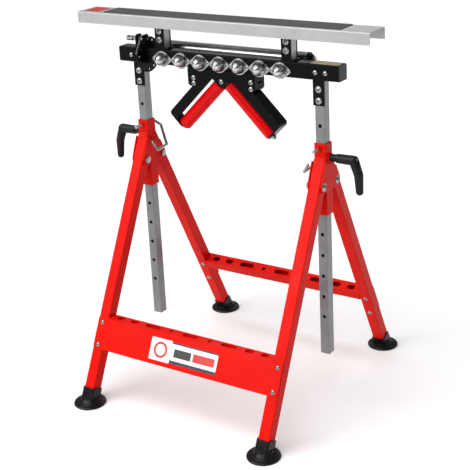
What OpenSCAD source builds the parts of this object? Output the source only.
// Folding work support stand with a turning four-function head: a steadying rail, a row of
// ball transfer units, a long roller and a pair of rollers set in a V.
// Origin: on the floor, under the middle of the top rail. X runs along the rail, Y to the back, Z up.

/* [Uprights] */
// Distance between the two uprights, centre to centre
upright_span = 516; // [480:1:560]
// How far the middle of the uprights sits from the middle of the rail
upright_mid = 12.5; // [0:0.5:20]
// Outside width of the square inner tube
tube_w = 25; // [24:0.5:26]
// Wall of the inner tube
tube_wall = 2; // [1.5:0.5:3]
// Height of the lower end of the inner tube above the floor
tube_bottom = 124.5; // [110:0.5:140]
// Distance between the height holes
hole_pitch = 54; // [50:1:56]
// Diameter of the height holes
hole_d = 9; // [8.8:0.1:10]
// Outside width of the square sleeve
sleeve_w = 32; // [32:0.5:34]
// Height of the sleeve's lower end
sleeve_bottom = 492; // [480:1:500]
// Length of the sleeve
sleeve_len = 175.5; // [170:0.5:180]

/* [Legs] */
// Outside width of the square leg tube
leg_w = 30; // [28:1:30]
// Wall of the leg tube
leg_wall = 2; // [1.5:0.5:2.5]
// Angle between an open leg and the upright
leg_angle = 26.6; // [26:0.1:27]
// Height of the leg pivot bolts
pivot_z = 569; // [560:1:575]
// Distance of the leg pivot bolts from the middle plane
pivot_y = 33.2; // [33.2:0.1:34]
// Thickness of the gusset plates
gusset_t = 3; // [2.5:0.5:4]
// Diameter of the round feet
foot_d = 81; // [76:1:86]

/* [Stretchers] */
// Distance down the leg to the top edge of a stretcher
stretcher_drop = 418; // [410:1:425]
// Height of the front stretcher's web
web_h = 79; // [74:1:82]
// Depth of the slotted top flange of the front stretcher
flange_depth = 28; // [24:1:32]
// Sheet thickness of both stretchers
sheet = 2.5; // [2:0.5:3]
// Spacing of the two bolts at each end
stretcher_bolt_gap = 57; // [55:1:58]

/* [Head] */
// Height of the turning axis of the head
axis_z = 838.5; // [836:0.5:840]
// Outside width of the square beam
beam_w = 38; // [36:0.5:40]
// Wall of the beam
beam_wall = 2.5; // [2:0.5:3]
// Middle of the posts and of the V rollers
head_mid = 6; // [0:1:12]
// Left end of the fixed beam
beam_left = -300; // [-305:1:-295]
// Right end of the fixed beam
beam_right = 324; // [318:1:330]
// Left face of the index disc
disc_x = -226; // [-227:0.5:-225]
// Right end of the turning beam
head_right = 244; // [243:0.5:244.5]
// Radius of the index disc
disc_r = 45; // [44:0.5:48]
// Radius of the ring of holes in the index disc
index_r = 38; // [36:0.5:39]
// Number of through holes in the index disc
index_count = 12; // [8, 12]

/* [Rail] */
// Length of the top rail
rail_len = 824; // [800:2:840]
// Width of the top rail
rail_w = 77; // [74:1:80]
// Height of the rail's top face above the floor
rail_top = 942.7; // [938:0.1:946]
// Depth of the rail's two side flanges
rail_flange = 28; // [26:0.5:30]
// Sheet thickness of the rail
rail_t = 2.5; // [2:0.5:3]
// Length of the grip strip
strip_len = 672; // [640:2:700]
// Distance between the two posts that carry the rail
post_span = 362; // [350:1:370]

/* [Rollers and balls] */
// Number of ball transfer units
ball_count = 7; // [5:1:7]
// Distance between neighbouring ball units
ball_pitch = 56.5; // [56.5:0.1:58]
// Diameter of each ball
ball_d = 22; // [21:0.5:22]
// Diameter of the V rollers
v_roller_d = 34; // [32:0.5:35]
// Length of the V rollers
v_roller_len = 160; // [150:1:162]
// Diameter of the long roller
long_roller_d = 34; // [32:0.5:34]
// Left and right end of the long roller
long_roller_x = [-190, 214];

/* [Hidden] */
$fn = 48;

eps = 0.01;          // overlap that welds two shapes of one solid
gap = 0.3;           // least gap between moving bodies
fit = 0.05;          // radial gap of a running fit
red = [0.86, 0.09, 0.03];
black = [0.08, 0.08, 0.09];
zinc = [0.75, 0.76, 0.78];
galvanised = [0.58, 0.6, 0.62];
silver = [0.8, 0.81, 0.82];
grip_grey = [0.3, 0.3, 0.31];
rubber_black = [0.05, 0.05, 0.05];

left_x = upright_mid - upright_span / 2;
right_x = upright_mid + upright_span / 2;
sleeve_top = sleeve_bottom + sleeve_len;
sleeve_half = sleeve_w / 2;
tube_half = tube_w / 2;
sleeve_inner = tube_w + 1;
beam_half = beam_w / 2;
beam_in = beam_half - beam_wall;
beam_top = axis_z + beam_half;
beam_under = axis_z - beam_half;
first_hole = tube_bottom + 99.5;
hole_count = 10;
pin_z = first_hole + 8 * hole_pitch;
lever_z = sleeve_top - 34.5;
leg_half = leg_w / 2;
leg_len = 646;
stop_y = sleeve_half + gap;
foot_y = pivot_y + pivot_z * tan(leg_angle) - 3;
bolt_drop = stretcher_drop + 11;
stretch_half = upright_span / 2 - leg_half - 0.5;
lip_h = 18;                  // lip at the back of the front stretcher's flange
web_half = upright_span / 2 + 13.5;
plate_t = 4;                 // tee bracket plate
tee_bottom = beam_under - 60;
end_plate_t = 3.5;
beam_gap = 1;
shaft_r = 10;
index_z = axis_z + index_r;
index_tip_r = 3;
rail_under = rail_top - rail_t;
post_x = [head_mid - post_span / 2, head_mid + post_span / 2];
post_base = 3;
ball_mid = 3;
ball_y = -beam_half - 14;
ball_z = axis_z - 4;
v_top_offset = [13.5, axis_z - 56];   // upper end of each V roller axis, from the middle
v_web_out = 46;              // outer face of the arm, from the roller axis
roller_y = beam_half + 25;
roller_z = axis_z + 13;
long_r = long_roller_d / 2;

// ---- helpers -------------------------------------------------------------------------------

// turns a shape drawn with its length along Z so that it runs along X (x to Y, y to Z)
module along_x() { rotate([90, 0, 90]) children(); }

// turns a shape drawn with its length along Z so that it runs along -Y
module along_y() { rotate([90, 0, 0]) children(); }

module round_square(w, h, r) {
    square([w - 2 * r, h], center = true);
    square([w, h - 2 * r], center = true);
    for (x = [-1, 1], y = [-1, 1]) translate([x * (w / 2 - r), y * (h / 2 - r)]) circle(r);
}

module square_tube(w, wall, len, r = 2.5) {
    linear_extrude(len) difference() {
        round_square(w, w, r);
        round_square(w - 2 * wall, w - 2 * wall, max(r - wall, 0.5));
    }
}

// a straight round bar from a to b
module rod(a, b, r) {
    d = b - a;
    len = norm(d);
    translate(a) rotate([0, acos(d.z / len), atan2(d.y, d.x)]) cylinder(h = len, r = r);
}

// a bent round bar through a list of points, with ball corners
module bent_rod(points, r) {
    for (i = [0 : len(points) - 2]) rod(points[i], points[i + 1], r);
    for (p = points) translate(p) sphere(r * 1.04);
}

// a low domed bolt head, flat on z = 0
module dome(r, h) {
    big = (r * r + h * h) / (2 * h);
    intersection() {
        translate([0, 0, h - big]) sphere(big, $fn = 64);
        cylinder(h = h + 1, r = r);
    }
}

module hex_nut(across, h, bore) {
    difference() {
        cylinder(h = h, d = across / cos(30), $fn = 6);
        translate([0, 0, -1]) cylinder(h = h + 2, r = bore);
    }
}

// a dome headed bolt along -Z from its seat at z = 0, with a nut at depth grip
module bolt(r, head_r, head_h, grip, nut = true) {
    dome(head_r, head_h);
    translate([0, 0, -grip - (nut ? 7 : 0)]) cylinder(h = grip + (nut ? 7 : 0) + eps, r = r);
    if (nut) translate([0, 0, -grip - 5.5]) hex_nut(r * 3.2, 5.5, r - 0.02);
}

// the front leg's own frame: pivot at the origin, leg down -Z, its front face towards -Y
module front_leg_frame() {
    translate([0, -pivot_y, pivot_z]) rotate([-leg_angle, 0, 0]) children();
}

// ---- sleeves and gussets --------------------------------------------------------------------

module sleeve(x, side) {
    color(red) difference() {
        translate([x, 0, sleeve_bottom]) linear_extrude(sleeve_len) difference() {
            round_square(sleeve_w, sleeve_w, 3);
            round_square(sleeve_inner, sleeve_inner, 0.6);
        }
        translate([x, sleeve_w, pin_z]) along_y() cylinder(h = 2 * sleeve_w, d = hole_d);
        translate([x, 0, lever_z]) rotate([0, side * 90, 0]) cylinder(h = sleeve_w, r = 4.2);
    }
}
module sleeve_left() { sleeve(left_x, -1); }
module sleeve_right() { sleeve(right_x, 1); }

gusset_outline = [[-16, sleeve_top - 46], [-24, sleeve_top - 41], [-47, pivot_z + 3], [-45, pivot_z - 9],
    [-37, pivot_z - 15], [37, pivot_z - 15], [45, pivot_z - 9], [47, pivot_z + 3],
    [29, sleeve_top - 61], [16, sleeve_top - 54]];

module gusset_plates() {
    color(red) for (x = [left_x, right_x], s = [-1, 1])
        translate([x + (s > 0 ? sleeve_half : -sleeve_half - gusset_t), 0, 0]) difference() {
            along_x() linear_extrude(gusset_t) polygon(gusset_outline);
            for (y = [-pivot_y, pivot_y]) translate([-1, y, pivot_z])
                rotate([0, 90, 0]) cylinder(h = gusset_t + 2, r = 5 + fit);
        }
}

// pivot bolts: dome head on the outer gusset, nut on the inner one
module pivot_bolts() {
    reach = sleeve_half + gusset_t;
    color(zinc) for (s = [-1, 1], y = [-pivot_y, pivot_y])
        translate([s > 0 ? right_x : left_x, y, pivot_z]) rotate([0, s * 90, 0])
            translate([0, 0, reach]) bolt(5, 8.5, 5, 2 * reach);
}

// threaded boss welded on each sleeve for the clamp stud
module clamp_bosses() {
    color(red) for (s = [-1, 1]) translate([s > 0 ? right_x : left_x, 0, lever_z])
        rotate([0, s * 90, 0]) translate([0, 0, sleeve_half]) difference() {
            cylinder(h = 4, r = 11);
            translate([0, 0, -1]) cylinder(h = 6, r = 4 + fit);
        }
}

// ---- legs -------------------------------------------------------------------------------------

// one front leg: its upper end is cut upright and bears on the sleeve as the open stop
module leg(x) {
    difference() {
        intersection() {
            front_leg_frame() translate([x, 0, -leg_len]) square_tube(leg_w, leg_wall, leg_len + 90);
            translate([x - 30, -500, 8]) cube([60, 500 - stop_y, 700]);
        }
        front_leg_frame() {
            translate([x - 20, 0, 0]) rotate([0, 90, 0]) cylinder(h = 40, r = 5 + fit);
            for (i = [0, 1]) translate([x, 20, -bolt_drop - i * stretcher_bolt_gap])
                along_y() cylinder(h = 40, r = 4);
        }
    }
}
module leg_front_left() { color(red) leg(left_x); }
module leg_front_right() { color(red) leg(right_x); }
module leg_rear_left() { color(red) mirror([0, 1, 0]) leg(left_x); }
module leg_rear_right() { color(red) mirror([0, 1, 0]) leg(right_x); }

// the row of slots and holes in a stretcher's top flange: [distance from the middle, length, width]
slot_row = [[0, 44, 15], [57, 11, 11], [112, 44, 15], [170, 24, 15], [213, 22, 15]];

module slot_cut(length, width) {
    translate([0, 0, -6]) linear_extrude(12) {
        if (length > width) square([length - width, width], center = true);
        for (s = [-1, 1]) translate([s * (length - width) / 2, 0]) circle(width / 2);
    }
}

module slot_cuts(y) {
    for (slot = slot_row, s = slot[0] == 0 ? [1] : [-1, 1])
        translate([upright_mid + s * slot[0], y, 0]) slot_cut(slot[1], slot[2]);
}

module web_outline(half, h, r) {
    translate([-half, -h + r]) square([2 * half, h - r]);
    translate([-half + r, -h]) square([2 * half - 2 * r, h]);
    for (s = [-1, 1]) translate([s * (half - r), -h + r]) circle(r);
}

module front_web() {
    front_leg_frame() translate([upright_mid, -leg_half, -stretcher_drop]) {
        along_y() linear_extrude(sheet) web_outline(web_half, web_h, 9);
        translate([-stretch_half, -sheet, -web_h]) cube([2 * stretch_half, 12, sheet]);
        translate([0, -sheet / 2, 0]) along_x() translate([0, 0, -web_half])
            cylinder(h = 2 * web_half, r = sheet / 2);
    }
}

module stretcher_front() {
    color(red) difference() {
        union() {
            front_web();
            front_leg_frame() translate([upright_mid, -leg_half - sheet / 2, -stretcher_drop])
                rotate([leg_angle, 0, 0]) translate([-stretch_half, 0, -sheet / 2]) {
                    cube([2 * stretch_half, flange_depth, sheet]);
                    translate([0, flange_depth - sheet, -lip_h])
                        cube([2 * stretch_half, sheet, lip_h + sheet]);
                }
        }
        front_leg_frame() translate([0, -leg_half - sheet / 2, -stretcher_drop])
            rotate([leg_angle, 0, 0]) slot_cuts(flange_depth / 2 + 2);
        stretcher_bolt_holes();
    }
}

module stretcher_bolt_holes() {
    for (x = [left_x, right_x], i = [0, 1]) front_leg_frame()
        translate([x, 30, -bolt_drop - i * stretcher_bolt_gap]) along_y() cylinder(h = 60, r = 4);
}

// the rear stretcher: a flat box between the legs, with an end tab behind each leg
module rear_channel() {
    lip = 25;
    translate([-stretch_half, -leg_half - sheet, -sheet]) cube([2 * stretch_half, leg_w + sheet, sheet]);
    translate([-stretch_half, -leg_half - sheet, -lip]) cube([2 * stretch_half, leg_w + sheet, sheet]);
    translate([-stretch_half, leg_half - sheet, -lip]) cube([2 * stretch_half, sheet, lip]);
    translate([-web_half, -leg_half - sheet, -lip]) cube([2 * web_half, sheet, lip]);
    for (s = [-1, 1]) translate([s * (stretch_half + web_half) / 2, -leg_half, 0]) along_y()
        linear_extrude(sheet) translate([0, -83 / 2]) round_square(web_half - stretch_half, 83, 6);
}

module stretcher_rear() {
    color(red) mirror([0, 1, 0]) difference() {
        front_leg_frame() translate([upright_mid, 0, -stretcher_drop + 7]) rear_channel();
        front_leg_frame() translate([0, 0, -stretcher_drop + 7]) slot_cuts(-1);
        stretcher_bolt_holes();
    }
}

// bolts through a leg and its stretcher: head on the -Y side, or on the inner side when flipped
module stretcher_bolts(flip) {
    color(zinc) for (x = [left_x, right_x], i = [0, 1]) front_leg_frame()
        translate([x, flip ? leg_half : -leg_half - sheet, -bolt_drop - i * stretcher_bolt_gap])
            rotate([flip ? -90 : 90, 0, 0]) bolt(4 - 0.02, 6, 3.6, leg_w + sheet);
}
module stretcher_front_bolts() { stretcher_bolts(false); }
module stretcher_rear_bolts() { mirror([0, 1, 0]) stretcher_bolts(true); }

// a round rubber foot with a slanted boot around the leg's end
module foot_disc() {
    rotate_extrude($fn = 96) polygon([[0, 0], [foot_d / 2 - 1, 0], [foot_d / 2, 1.5], [foot_d / 2, 4],
        [foot_d / 2 - 1.5, 6], [foot_d / 2 - 9, 7.5], [foot_d / 2 - 17, 11], [foot_d / 2 - 21, 16], [0, 16]]);
}

module foot(x) {
    difference() {
        union() {
            translate([x, -foot_y, 0]) foot_disc();
            intersection() {
                front_leg_frame() translate([x, 0, -leg_len])
                    linear_extrude(52) round_square(leg_w + 6, leg_w + 6, 5);
                translate([x - 40, -foot_y - 60, 4]) cube([80, 120, 38]);
            }
        }
        intersection() {
            front_leg_frame() translate([x, 0, -leg_len - 20])
                linear_extrude(140) round_square(leg_w, leg_w, 2.5);
            translate([x - 40, -foot_y - 80, 8]) cube([80, 160, 100]);
        }
    }
}
module feet_front() { color(rubber_black) for (x = [left_x, right_x]) foot(x); }
module feet_rear() { color(rubber_black) mirror([0, 1, 0]) for (x = [left_x, right_x]) foot(x); }

// ---- the carriage: inner tubes, fixed beam ends and their brackets ------------------------------

bracket_bolt_z = [beam_under - 21.5, beam_under - 48.5];
beam_bolt_x = [-7, 19];      // outwards from the upright

module inner_tube(x) {
    color(galvanised) difference() {
        translate([x, 0, tube_bottom]) square_tube(tube_w, tube_wall, axis_z + beam_in - tube_bottom, 2);
        for (i = [0 : hole_count - 1]) translate([x, tube_w, first_hole + i * hole_pitch])
            along_y() cylinder(h = 2 * tube_w, d = hole_d);
        for (z = bracket_bolt_z) translate([x, tube_w, z]) along_y() cylinder(h = 2 * tube_w, r = 4);
        for (b = beam_bolt_x) translate([x + (x > 0 ? b : -b), 0, axis_z - 1])
            along_y() cylinder(h = tube_w, r = 4);
    }
}
module inner_tube_left() { inner_tube(left_x); }
module inner_tube_right() { inner_tube(right_x); }

module end_beam(x, from, to) {
    color(black) difference() {
        translate([from, 0, axis_z]) along_x() square_tube(beam_w, beam_wall, to - from, 3.5);
        translate([x - 14.6, -beam_in, beam_under - 1])
            cube([29.2, beam_in + tube_half + 0.1, beam_wall + 2]);
        for (b = beam_bolt_x) translate([x + (x > 0 ? b : -b), 0, axis_z - 1])
            along_y() cylinder(h = tube_w, r = 4);
        if (x < 0) translate([x + 4, 0, beam_top - 5]) cylinder(h = 10, r = 3);
    }
}
module end_beam_left() { end_beam(left_x, beam_left, disc_x - beam_gap); }
module end_beam_right() { end_beam(right_x, head_right + beam_gap, beam_right); }

module beam_end_caps() {
    color(black) for (s = [-1, 1]) translate([s > 0 ? beam_right : beam_left, 0, axis_z])
        rotate([0, s * 90, 0]) {
            linear_extrude(2) round_square(beam_w - 1, beam_w - 1, 3);
            translate([0, 0, -10]) linear_extrude(10 + eps) round_square(2 * beam_in, 2 * beam_in, 0.9);
        }
}

// T shaped plate: down the front of the tube, and inside the beam's front wall
module tee_brackets() {
    color(black) for (s = [-1, 1]) translate([s > 0 ? right_x : left_x, -tube_half, 0]) difference() {
        along_y() linear_extrude(plate_t) {
            translate([-14.5, tee_bottom]) square([29, axis_z + beam_in - 2 - tee_bottom]);
            translate([s > 0 ? -14.5 : -28, axis_z - beam_in + 2]) square([42.5, 2 * beam_in - 4]);
        }
        for (z = bracket_bolt_z) translate([0, 1, z]) along_y() cylinder(h = 8, r = 4);
        for (b = beam_bolt_x) translate([s * b, 1, axis_z - 1]) along_y() cylinder(h = 8, r = 4);
    }
}

module bracket_bolts() {
    color(zinc) for (s = [-1, 1]) translate([s > 0 ? right_x : left_x, 0, 0]) {
        for (z = bracket_bolt_z) translate([0, -tube_half - plate_t, z])
            rotate([90, 0, 0]) bolt(4 - 0.02, 7, 4, tube_w + plate_t);
        for (b = beam_bolt_x) translate([s * b, -beam_half, axis_z - 1])
            rotate([90, 0, 0]) bolt(4 - 0.02, 6, 3.5, beam_wall + plate_t + 4, false);
    }
}

// end plate and round shaft on which the head turns
module pivot_shaft(x, dir) {
    translate([x, 0, axis_z]) rotate([0, dir * 90, 0]) {
        translate([0, 0, -end_plate_t]) linear_extrude(end_plate_t)
            round_square(2 * beam_in, 2 * beam_in, 0.9);
        translate([0, 0, -eps]) cylinder(h = 22, r = shaft_r);
    }
}
module pivot_shafts() {
    color(zinc) {
        pivot_shaft(disc_x - beam_gap, 1);
        pivot_shaft(head_right + beam_gap, -1);
    }
}

// U shaped bracket on the left beam end that guides the index pin
module latch_bracket() {
    base_x = disc_x - 27;
    lug_h = index_z + 12 - beam_top;
    color(black) difference() {
        union() {
            translate([base_x, -12, beam_top]) cube([24, 24, 3]);
            for (x = [base_x, base_x + 21]) translate([x, 0, beam_top]) along_x() linear_extrude(3) {
                translate([-12, 0]) square([24, lug_h - 6]);
                translate([-6, 0]) square([12, lug_h]);
                for (s = [-1, 1]) translate([s * 6, lug_h - 6]) circle(6);
            }
        }
        translate([base_x - 1, 0, index_z]) rotate([0, 90, 0]) cylinder(h = 26, r = 4 + 2 * fit);
    }
}

// return spring around the index pin, between the outer lug and the pin's collar
coil_r = 5.6;
wire_r = 0.6;
coil_turns = 4;
coil_len = 9;
wire_sides = 6;
coil_steps = coil_turns * 12;
function coil_point(i, j) =
    let (turn = 360 * coil_turns * i / coil_steps, side = 360 * j / wire_sides, r = coil_r + wire_r * cos(side))
    [r * cos(turn), r * sin(turn), coil_len * i / coil_steps + wire_r * sin(side)];
module coil() {
    points = [for (i = [0 : coil_steps], j = [0 : wire_sides - 1]) coil_point(i, j)];
    sides = [for (i = [0 : coil_steps - 1], j = [0 : wire_sides - 1]) let (k = (j + 1) % wire_sides)
        [i * wire_sides + j, i * wire_sides + k, (i + 1) * wire_sides + k, (i + 1) * wire_sides + j]];
    first = [for (j = [wire_sides - 1 : -1 : 0]) j];
    last = [for (j = [0 : wire_sides - 1]) coil_steps * wire_sides + j];
    polyhedron(points, concat([first, last], sides), convexity = 8);
}
module index_spring() {
    color(zinc) translate([disc_x - 23.2, 0, index_z]) rotate([0, 90, 0]) coil();
}

// short chain from the latch bracket to the front of the beam
chain_points = [[disc_x - 12, -15, index_z - 4], [disc_x - 12, -beam_half - 4, beam_top + 2],
    [disc_x - 18, -beam_half - 4, axis_z + 3]];
chain_link = 3.2;            // distance between links
chain_drop = norm(chain_points[1] - chain_points[0]);
chain_hang = norm(chain_points[2] - chain_points[1]);
function along(a, b, d) = a + (b - a) * d / norm(b - a);
function chain_point(d) = d < chain_drop ? along(chain_points[0], chain_points[1], d)
    : along(chain_points[1], chain_points[2], d - chain_drop);
module pin_chain() {
    color(zinc) for (i = [0 : floor((chain_drop + chain_hang) / chain_link)])
        translate(chain_point(i * chain_link)) rotate([0, 0, (i % 2) * 90]) rotate([90, 0, 0])
            rotate_extrude($fn = 24) translate([2.3, 0]) circle(0.55, $fn = 16);
}

// ---- height pins, clamp levers -----------------------------------------------------------------

// locking pin through sleeve and tube, with its wire bail bent round the inner side
module height_pin(x, side) {
    inward = -side;
    front = [x, -46, pin_z];
    back = [x, 30, pin_z];
    color(zinc) {
        bent_rod([back, [x + inward * 23, 29, pin_z - 9], [x + inward * 42, 24, pin_z - 59],
            [x + inward * 43, -16, pin_z - 62], [x + inward * 31, -20, pin_z - 43]], 3.5);
        rod(front, back, 4);
    }
}
module height_pin_left() { height_pin(left_x, -1); }
module height_pin_right() { height_pin(right_x, 1); }

// clamp lever, drawn for the right side: the hub runs along +X from the boss, the arm hangs down
module lever_shape() {
    difference() {
        union() {
            rotate([0, 90, 0]) translate([0, 0, 21]) cylinder(h = 18, r = 9);
            hull() {
                rotate([0, 90, 0]) translate([0, 0, 37]) cylinder(h = 2, r = 11, $fn = 32);
                translate([80, 0, 0]) sphere(12, $fn = 32);
            }
            hull() {
                translate([80, 0, 0]) sphere(12, $fn = 32);
                translate([92, 0, -34]) sphere(11, $fn = 32);
            }
            hull() {
                translate([92, 0, -34]) sphere(11, $fn = 32);
                translate([94, 0, -74]) sphere(9, $fn = 32);
            }
        }
        translate([84, 0, 0]) rotate([0, 90, 0]) cylinder(h = 20, r = 7);
        translate([20, 0, 0]) rotate([0, 90, 0]) cylinder(h = 30, r = 4);
    }
}
module clamp_lever_right() { color(rubber_black) translate([right_x, 0, lever_z]) lever_shape(); }
module clamp_lever_left() {
    color(rubber_black) translate([left_x, 0, lever_z]) mirror([1, 0, 0]) lever_shape();
}

module clamp_stud(x, side) {
    color(zinc) translate([x, 0, lever_z]) rotate([0, side * 90, 0])
        translate([0, 0, tube_half + gap]) cylinder(h = 50 - tube_half - gap, r = 4);
}
module clamp_stud_left() { clamp_stud(left_x, -1); }
module clamp_stud_right() { clamp_stud(right_x, 1); }

// ---- the turning head --------------------------------------------------------------------------

head_left = disc_x + 4;
plug_len = 14;

module head_beam() {
    color(black) difference() {
        translate([head_left, 0, axis_z]) along_x()
            square_tube(beam_w, beam_wall, head_right - head_left, 3.5);
        for (i = [0 : ball_count - 1]) ball_screw_places(i) cylinder(h = 12, r = 2);
    }
}

module bearing_plugs() {
    color(black) for (x = [head_left, head_right - plug_len]) translate([x, 0, axis_z]) difference() {
        along_x() linear_extrude(plug_len) round_square(2 * beam_in, 2 * beam_in, 0.9);
        translate([-1, 0, 0]) rotate([0, 90, 0]) cylinder(h = plug_len + 2, r = shaft_r + fit);
    }
}

module index_disc() {
    color(black) translate([disc_x, 0, axis_z]) rotate([0, 90, 0]) difference() {
        cylinder(h = 4, r = disc_r, $fn = 96);
        translate([0, 0, -1]) cylinder(h = 6, r = shaft_r + 0.5);
        for (i = [0 : index_count - 1]) rotate(i * 360 / index_count) {
            translate([index_r, 0, -1]) cylinder(h = 6, r = 4);
            rotate(180 / index_count) translate([index_r, 0, -1]) cylinder(h = 4, r = index_tip_r + gap);
        }
    }
}

// ball transfer units: a two hole flange and a cup that holds the ball
function ball_x(i) = ball_mid + (i - (ball_count - 1) / 2) * ball_pitch;
flange_tip = 22;
flange_tip_r = 6;
flange_r = 20;
tangent = acos((flange_r - flange_tip_r) / flange_tip);

module ball_screw_places(i) {
    for (s = [-1, 1]) translate([ball_x(i) + s * flange_tip, -beam_half + 5, ball_z])
        rotate([90, 0, 0]) children();
}

module flange_outline() {
    circle(flange_r, $fn = 64);
    for (s = [-1, 1]) translate([s * flange_tip, 0]) circle(flange_tip_r);
    for (s = [0, 180]) rotate(s) polygon([
        [flange_r * cos(tangent), flange_r * sin(tangent)],
        [flange_tip + flange_tip_r * cos(tangent), flange_tip_r * sin(tangent)],
        [flange_tip + flange_tip_r * cos(tangent), -flange_tip_r * sin(tangent)],
        [flange_r * cos(tangent), -flange_r * sin(tangent)]]);
}

module ball_cup() {
    difference() {
        union() {
            linear_extrude(2.5) difference() {
                flange_outline();
                for (s = [-1, 1]) translate([s * flange_tip, 0]) circle(2.2, $fn = 24);
            }
            rotate_extrude($fn = 64) polygon([[0, 0], [17.5, 0], [17.5, 4], [16.5, 8], [15, 12],
                [13.2, 16], [11.6, 19], [0, 19]]);
        }
        translate([0, 0, 14]) sphere(ball_d / 2 + 0.5, $fn = 64);
        translate([0, 0, 14]) cylinder(h = 10, r = 10.4);
        translate([0, 0, 1]) cylinder(h = 10, r = 8);
    }
}

module ball_cups() {
    color(silver) for (i = [0 : ball_count - 1]) translate([ball_x(i), -beam_half, ball_z])
        rotate([90, 0, 0]) ball_cup();
}

module ball(i) {
    if (i < ball_count) color(silver) translate([ball_x(i), ball_y, ball_z]) sphere(ball_d / 2, $fn = 64);
}
module ball_1() { ball(0); }
module ball_2() { ball(1); }
module ball_3() { ball(2); }
module ball_4() { ball(3); }
module ball_5() { ball(4); }
module ball_6() { ball(5); }
module ball_7() { ball(6); }

post_bolt_z = [beam_top + 24, beam_top + 45.5];

module rail_posts() {
    color(silver) for (x = post_x) difference() {
        translate([x, 0, beam_top + post_base])
            square_tube(tube_w, 2, rail_under - beam_top - post_base, 2);
        for (z = post_bolt_z) translate([x, 20, z]) along_y() cylinder(h = 40, r = 4);
    }
}

// base plate on the beam with an upright plate in front of the post and one behind it
module post_brackets() {
    color(black) for (x = post_x) difference() {
        union() {
            translate([x - 13, -beam_half + 1, beam_top]) cube([34, beam_w - 2, post_base]);
            translate([x - 13, -tube_half - 3, beam_top]) cube([26, 3, rail_under - 3 - beam_top]);
            translate([x - 13, tube_half, beam_top]) cube([26, 3, rail_under - 3 - beam_top]);
        }
        for (z = post_bolt_z) translate([x, 20, z]) along_y() cylinder(h = 40, r = 4);
    }
}

// outline of the hanger's front and back plates, measured from the middle and the beam's underside
hanger_half = 97;
hanger_outline = [[-97, 0], [97, 0], [97, -39], [91, -45], [84, -45], [40, -26], [22, -22], [0, -41],
    [-22, -22], [-40, -26], [-84, -45], [-91, -45], [-97, -39]];
hanger_bolts = [[-81, -24], [-81, -37.5], [84, -21], [84, -37.5], [0, -27]];

module hanger_bolt_holes(r) {
    for (b = hanger_bolts) translate([b[0], 30, b[1]]) along_y() cylinder(h = 60, r = r);
}

// an inverted channel under the beam, notched behind the flanges of the ball units
module v_hanger() {
    color(black) translate([head_mid, 0, beam_under]) difference() {
        union() {
            for (y = [-18, 21]) translate([0, y, 0]) along_y() linear_extrude(3) polygon(hanger_outline);
            translate([-hanger_half, -20, -3]) cube([2 * hanger_half, 40, 3]);
            for (s = [-1, 1]) translate([s > 0 ? hanger_half - 3 : -hanger_half, -20, -39]) cube([3, 40, 39]);
        }
        hanger_bolt_holes(4);
        for (i = [0 : ball_count - 1]) translate([ball_x(i) - head_mid, -beam_half + 0.5, ball_z - beam_under])
            along_y() cylinder(h = 10, r = flange_r + 0.5, $fn = 64);
        for (s = [-1, 1], z = [-13, -26]) translate([s * hanger_half - 5, -9, z])
            cube([10, 18, 5]);
    }
}

// a V roller's own frame, drawn for the right roller: axis along +Z, outer side towards +X
module v_frame(s) {
    if (s > 0) translate([head_mid + v_top_offset[0], 0, v_top_offset[1]]) rotate([0, 135, 0])
        mirror([1, 0, 0]) children();
    else mirror_at(head_mid) v_frame(1) children();
}
module mirror_at(x) { translate([x, 0, 0]) mirror([1, 0, 0]) translate([-x, 0, 0]) children(); }

// a folded channel whose end tabs carry one roller
module v_arm() {
    end = v_roller_len + 4;
    web_t = 3;
    difference() {
        union() {
            translate([v_web_out - web_t, -18, -4]) cube([web_t, 36, end + 4]);
            translate([20, -18, -4]) cube([v_web_out - 20, 3, end + 4]);
            translate([36, 15, -4]) cube([v_web_out - 36, 3, end + 4]);
            for (z = [-4, end - web_t]) translate([0, 0, z]) {
                translate([-1, -18, 0]) cube([v_web_out, 36, web_t]);
                translate([0, 0, 0]) cylinder(h = web_t, r = 13);
            }
        }
        translate([0, 0, -10]) cylinder(h = end + 20, r = 4);
        translate([v_web_out - 9, 0, end - 9]) rotate([90, 0, 0]) linear_extrude(40, center = true)
            difference() {
                square(10);
                circle(9);
            }
    }
}
module v_arms() {
    color(black) difference() {
        for (s = [-1, 1]) v_frame(s) v_arm();
        translate([head_mid - 100, -50, beam_under - 3 - gap]) cube([200, 100, 40]);
        translate([head_mid, 0, beam_under]) hanger_bolt_holes(4 + gap);
    }
}

module v_axle() {
    translate([0, 0, -11]) cylinder(h = v_roller_len + 24, r = 4 - 0.02);
    translate([0, 0, -9.5]) hex_nut(13, 5.5, 3.9);
    translate([0, 0, v_roller_len + 4]) hex_nut(13, 5.5, 3.9);
}
module v_axles() { color(zinc) for (s = [-1, 1]) v_frame(s) v_axle(); }

// a hollow roller along +Z with a bushed hub at each end
module roller(len, r, bore) {
    rotate_extrude($fn = 96) polygon([[bore, 0], [r - 1, 0], [r, 1], [r, len - 1], [r - 1, len],
        [bore, len], [bore, len - 8], [r - 2.5, len - 8], [r - 2.5, 8], [bore, 8]]);
}
module v_roller_left() { color(red) v_frame(-1) roller(v_roller_len, v_roller_d / 2, 4 + fit); }
module v_roller_right() { color(red) v_frame(1) roller(v_roller_len, v_roller_d / 2, 4 + fit); }

// long roller behind the beam, with black end caps
module long_roller() {
    color(silver) translate([long_roller_x[0], roller_y, roller_z]) rotate([0, 90, 0])
        rotate_extrude($fn = 96) difference() {
            translate([long_r - 2, 0]) square([2, long_roller_x[1] - long_roller_x[0]]);
        }
}

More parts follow.
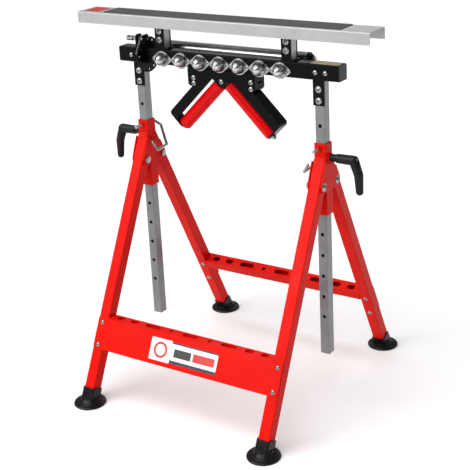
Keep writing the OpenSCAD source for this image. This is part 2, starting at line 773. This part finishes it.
module roller_cap() {
    rotate_extrude($fn = 96) polygon([[4 + fit, -14], [long_r - 2, -14], [long_r - 2, 0], [long_r, 0],
        [long_r, 3], [long_r - 2, 6], [8, 7.5], [4 + fit, 7.5]]);
}
module long_roller_caps() {
    color(black) {
        translate([long_roller_x[1], roller_y, roller_z]) rotate([0, 90, 0]) roller_cap();
        translate([long_roller_x[0], roller_y, roller_z]) rotate([0, -90, 0]) roller_cap();
    }
}

roller_bracket_x = [long_roller_x[0] - 11.5, long_roller_x[1] + 8.5];
module roller_brackets() {
    color(black) for (i = [0, 1]) translate([roller_bracket_x[i], 0, 0]) difference() {
        union() {
            translate([0, roller_y, roller_z]) rotate([0, 90, 0]) cylinder(h = 3, r = 11);
            translate([0, beam_half, axis_z - 12]) cube([3, roller_y - beam_half, 24]);
            translate([0, roller_y - 12, axis_z - 12]) cube([3, 12, roller_z - axis_z + 12]);
            translate([i == 0 ? 0 : -19, beam_half, axis_z - 12]) cube([22, 3, 24]);
        }
        translate([-1, roller_y, roller_z]) rotate([0, 90, 0]) cylinder(h = 5, r = 4);
    }
}

module roller_axle() {
    from = roller_bracket_x[0];
    to = roller_bracket_x[1] + 3;
    color(zinc) translate([0, roller_y, roller_z]) rotate([0, 90, 0]) {
        translate([0, 0, from - 7]) cylinder(h = to - from + 14, r = 4 - 0.02);
        translate([0, 0, from - 5.5]) hex_nut(13, 5.5, 3.9);
        translate([0, 0, to]) hex_nut(13, 5.5, 3.9);
    }
}

// bolts of the head: posts, post brackets, hanger and the screws of the ball units
module head_bolts() {
    color(zinc) {
        for (x = post_x, z = post_bolt_z) translate([x, -tube_half - 3, z])
            rotate([90, 0, 0]) bolt(4 - 0.02, 7, 4, tube_w + 6);
        for (b = hanger_bolts) translate([head_mid + b[0], -21, beam_under + b[1]])
            rotate([90, 0, 0]) bolt(4 - 0.02, 6.5, 3.5, 42);
        for (i = [0 : ball_count - 1]) ball_screw_places(i) translate([0, 0, 5 + 2.5]) {
            dome(3.6, 2);
            translate([0, 0, -9]) cylinder(h = 9 + eps, r = 1.95);
        }
    }
}

// downward channel rail
module rail_outline() {
    difference() {
        translate([-rail_w / 2, rail_top - rail_flange]) {
            square([rail_w, rail_flange - 3]);
            translate([3, 0]) square([rail_w - 6, rail_flange]);
            for (x = [3, rail_w - 3]) translate([x, rail_flange - 3]) circle(3);
        }
        translate([-rail_w / 2 + rail_t, rail_top - rail_flange - 1])
            square([rail_w - 2 * rail_t, rail_flange - rail_t + 1]);
    }
}
module top_rail() {
    color(silver) translate([-rail_len / 2, 0, 0]) along_x() linear_extrude(rail_len) rail_outline();
}
module grip_strip() {
    color(grip_grey) translate([0, 2, rail_top + 0.9]) linear_extrude(1.8, center = true)
        round_square(strip_len, 62, 1);
}

// spring loaded index pin with its pull knob
module index_pin() {
    color(zinc) translate([disc_x, 0, index_z]) rotate([0, 90, 0]) {
        translate([0, 0, -42]) cylinder(h = 41, r = 4);
        translate([0, 0, -2]) cylinder(h = 4.6, r = index_tip_r);
        translate([0, 0, -12.7]) cylinder(h = 3, r = 6.8);
        translate([0, 0, -61]) rotate_extrude() polygon([[0, 0], [5, 0], [6.5, 1.5], [6.5, 6], [5.2, 8],
            [5.2, 12], [6.5, 14], [6.5, 18.5], [5, 20], [0, 20]]);
    }
}

sleeve_left();
sleeve_right();
gusset_plates();
pivot_bolts();
clamp_bosses();
leg_front_left();
leg_front_right();
stretcher_front();
stretcher_front_bolts();
feet_front();
leg_rear_left();
leg_rear_right();
stretcher_rear();
stretcher_rear_bolts();
feet_rear();
inner_tube_left();
inner_tube_right();
end_beam_left();
end_beam_right();
beam_end_caps();
tee_brackets();
bracket_bolts();
pivot_shafts();
latch_bracket();
index_spring();
pin_chain();
height_pin_left();
height_pin_right();
clamp_lever_left();
clamp_lever_right();
clamp_stud_left();
clamp_stud_right();
head_beam();
bearing_plugs();
index_disc();
ball_cups();
rail_posts();
post_brackets();
head_bolts();
top_rail();
grip_strip();
v_hanger();
v_arms();
v_axles();
roller_brackets();
roller_axle();
index_pin();
long_roller();
long_roller_caps();
v_roller_left();
v_roller_right();
ball_1();
ball_2();
ball_3();
ball_4();
ball_5();
ball_6();
ball_7();
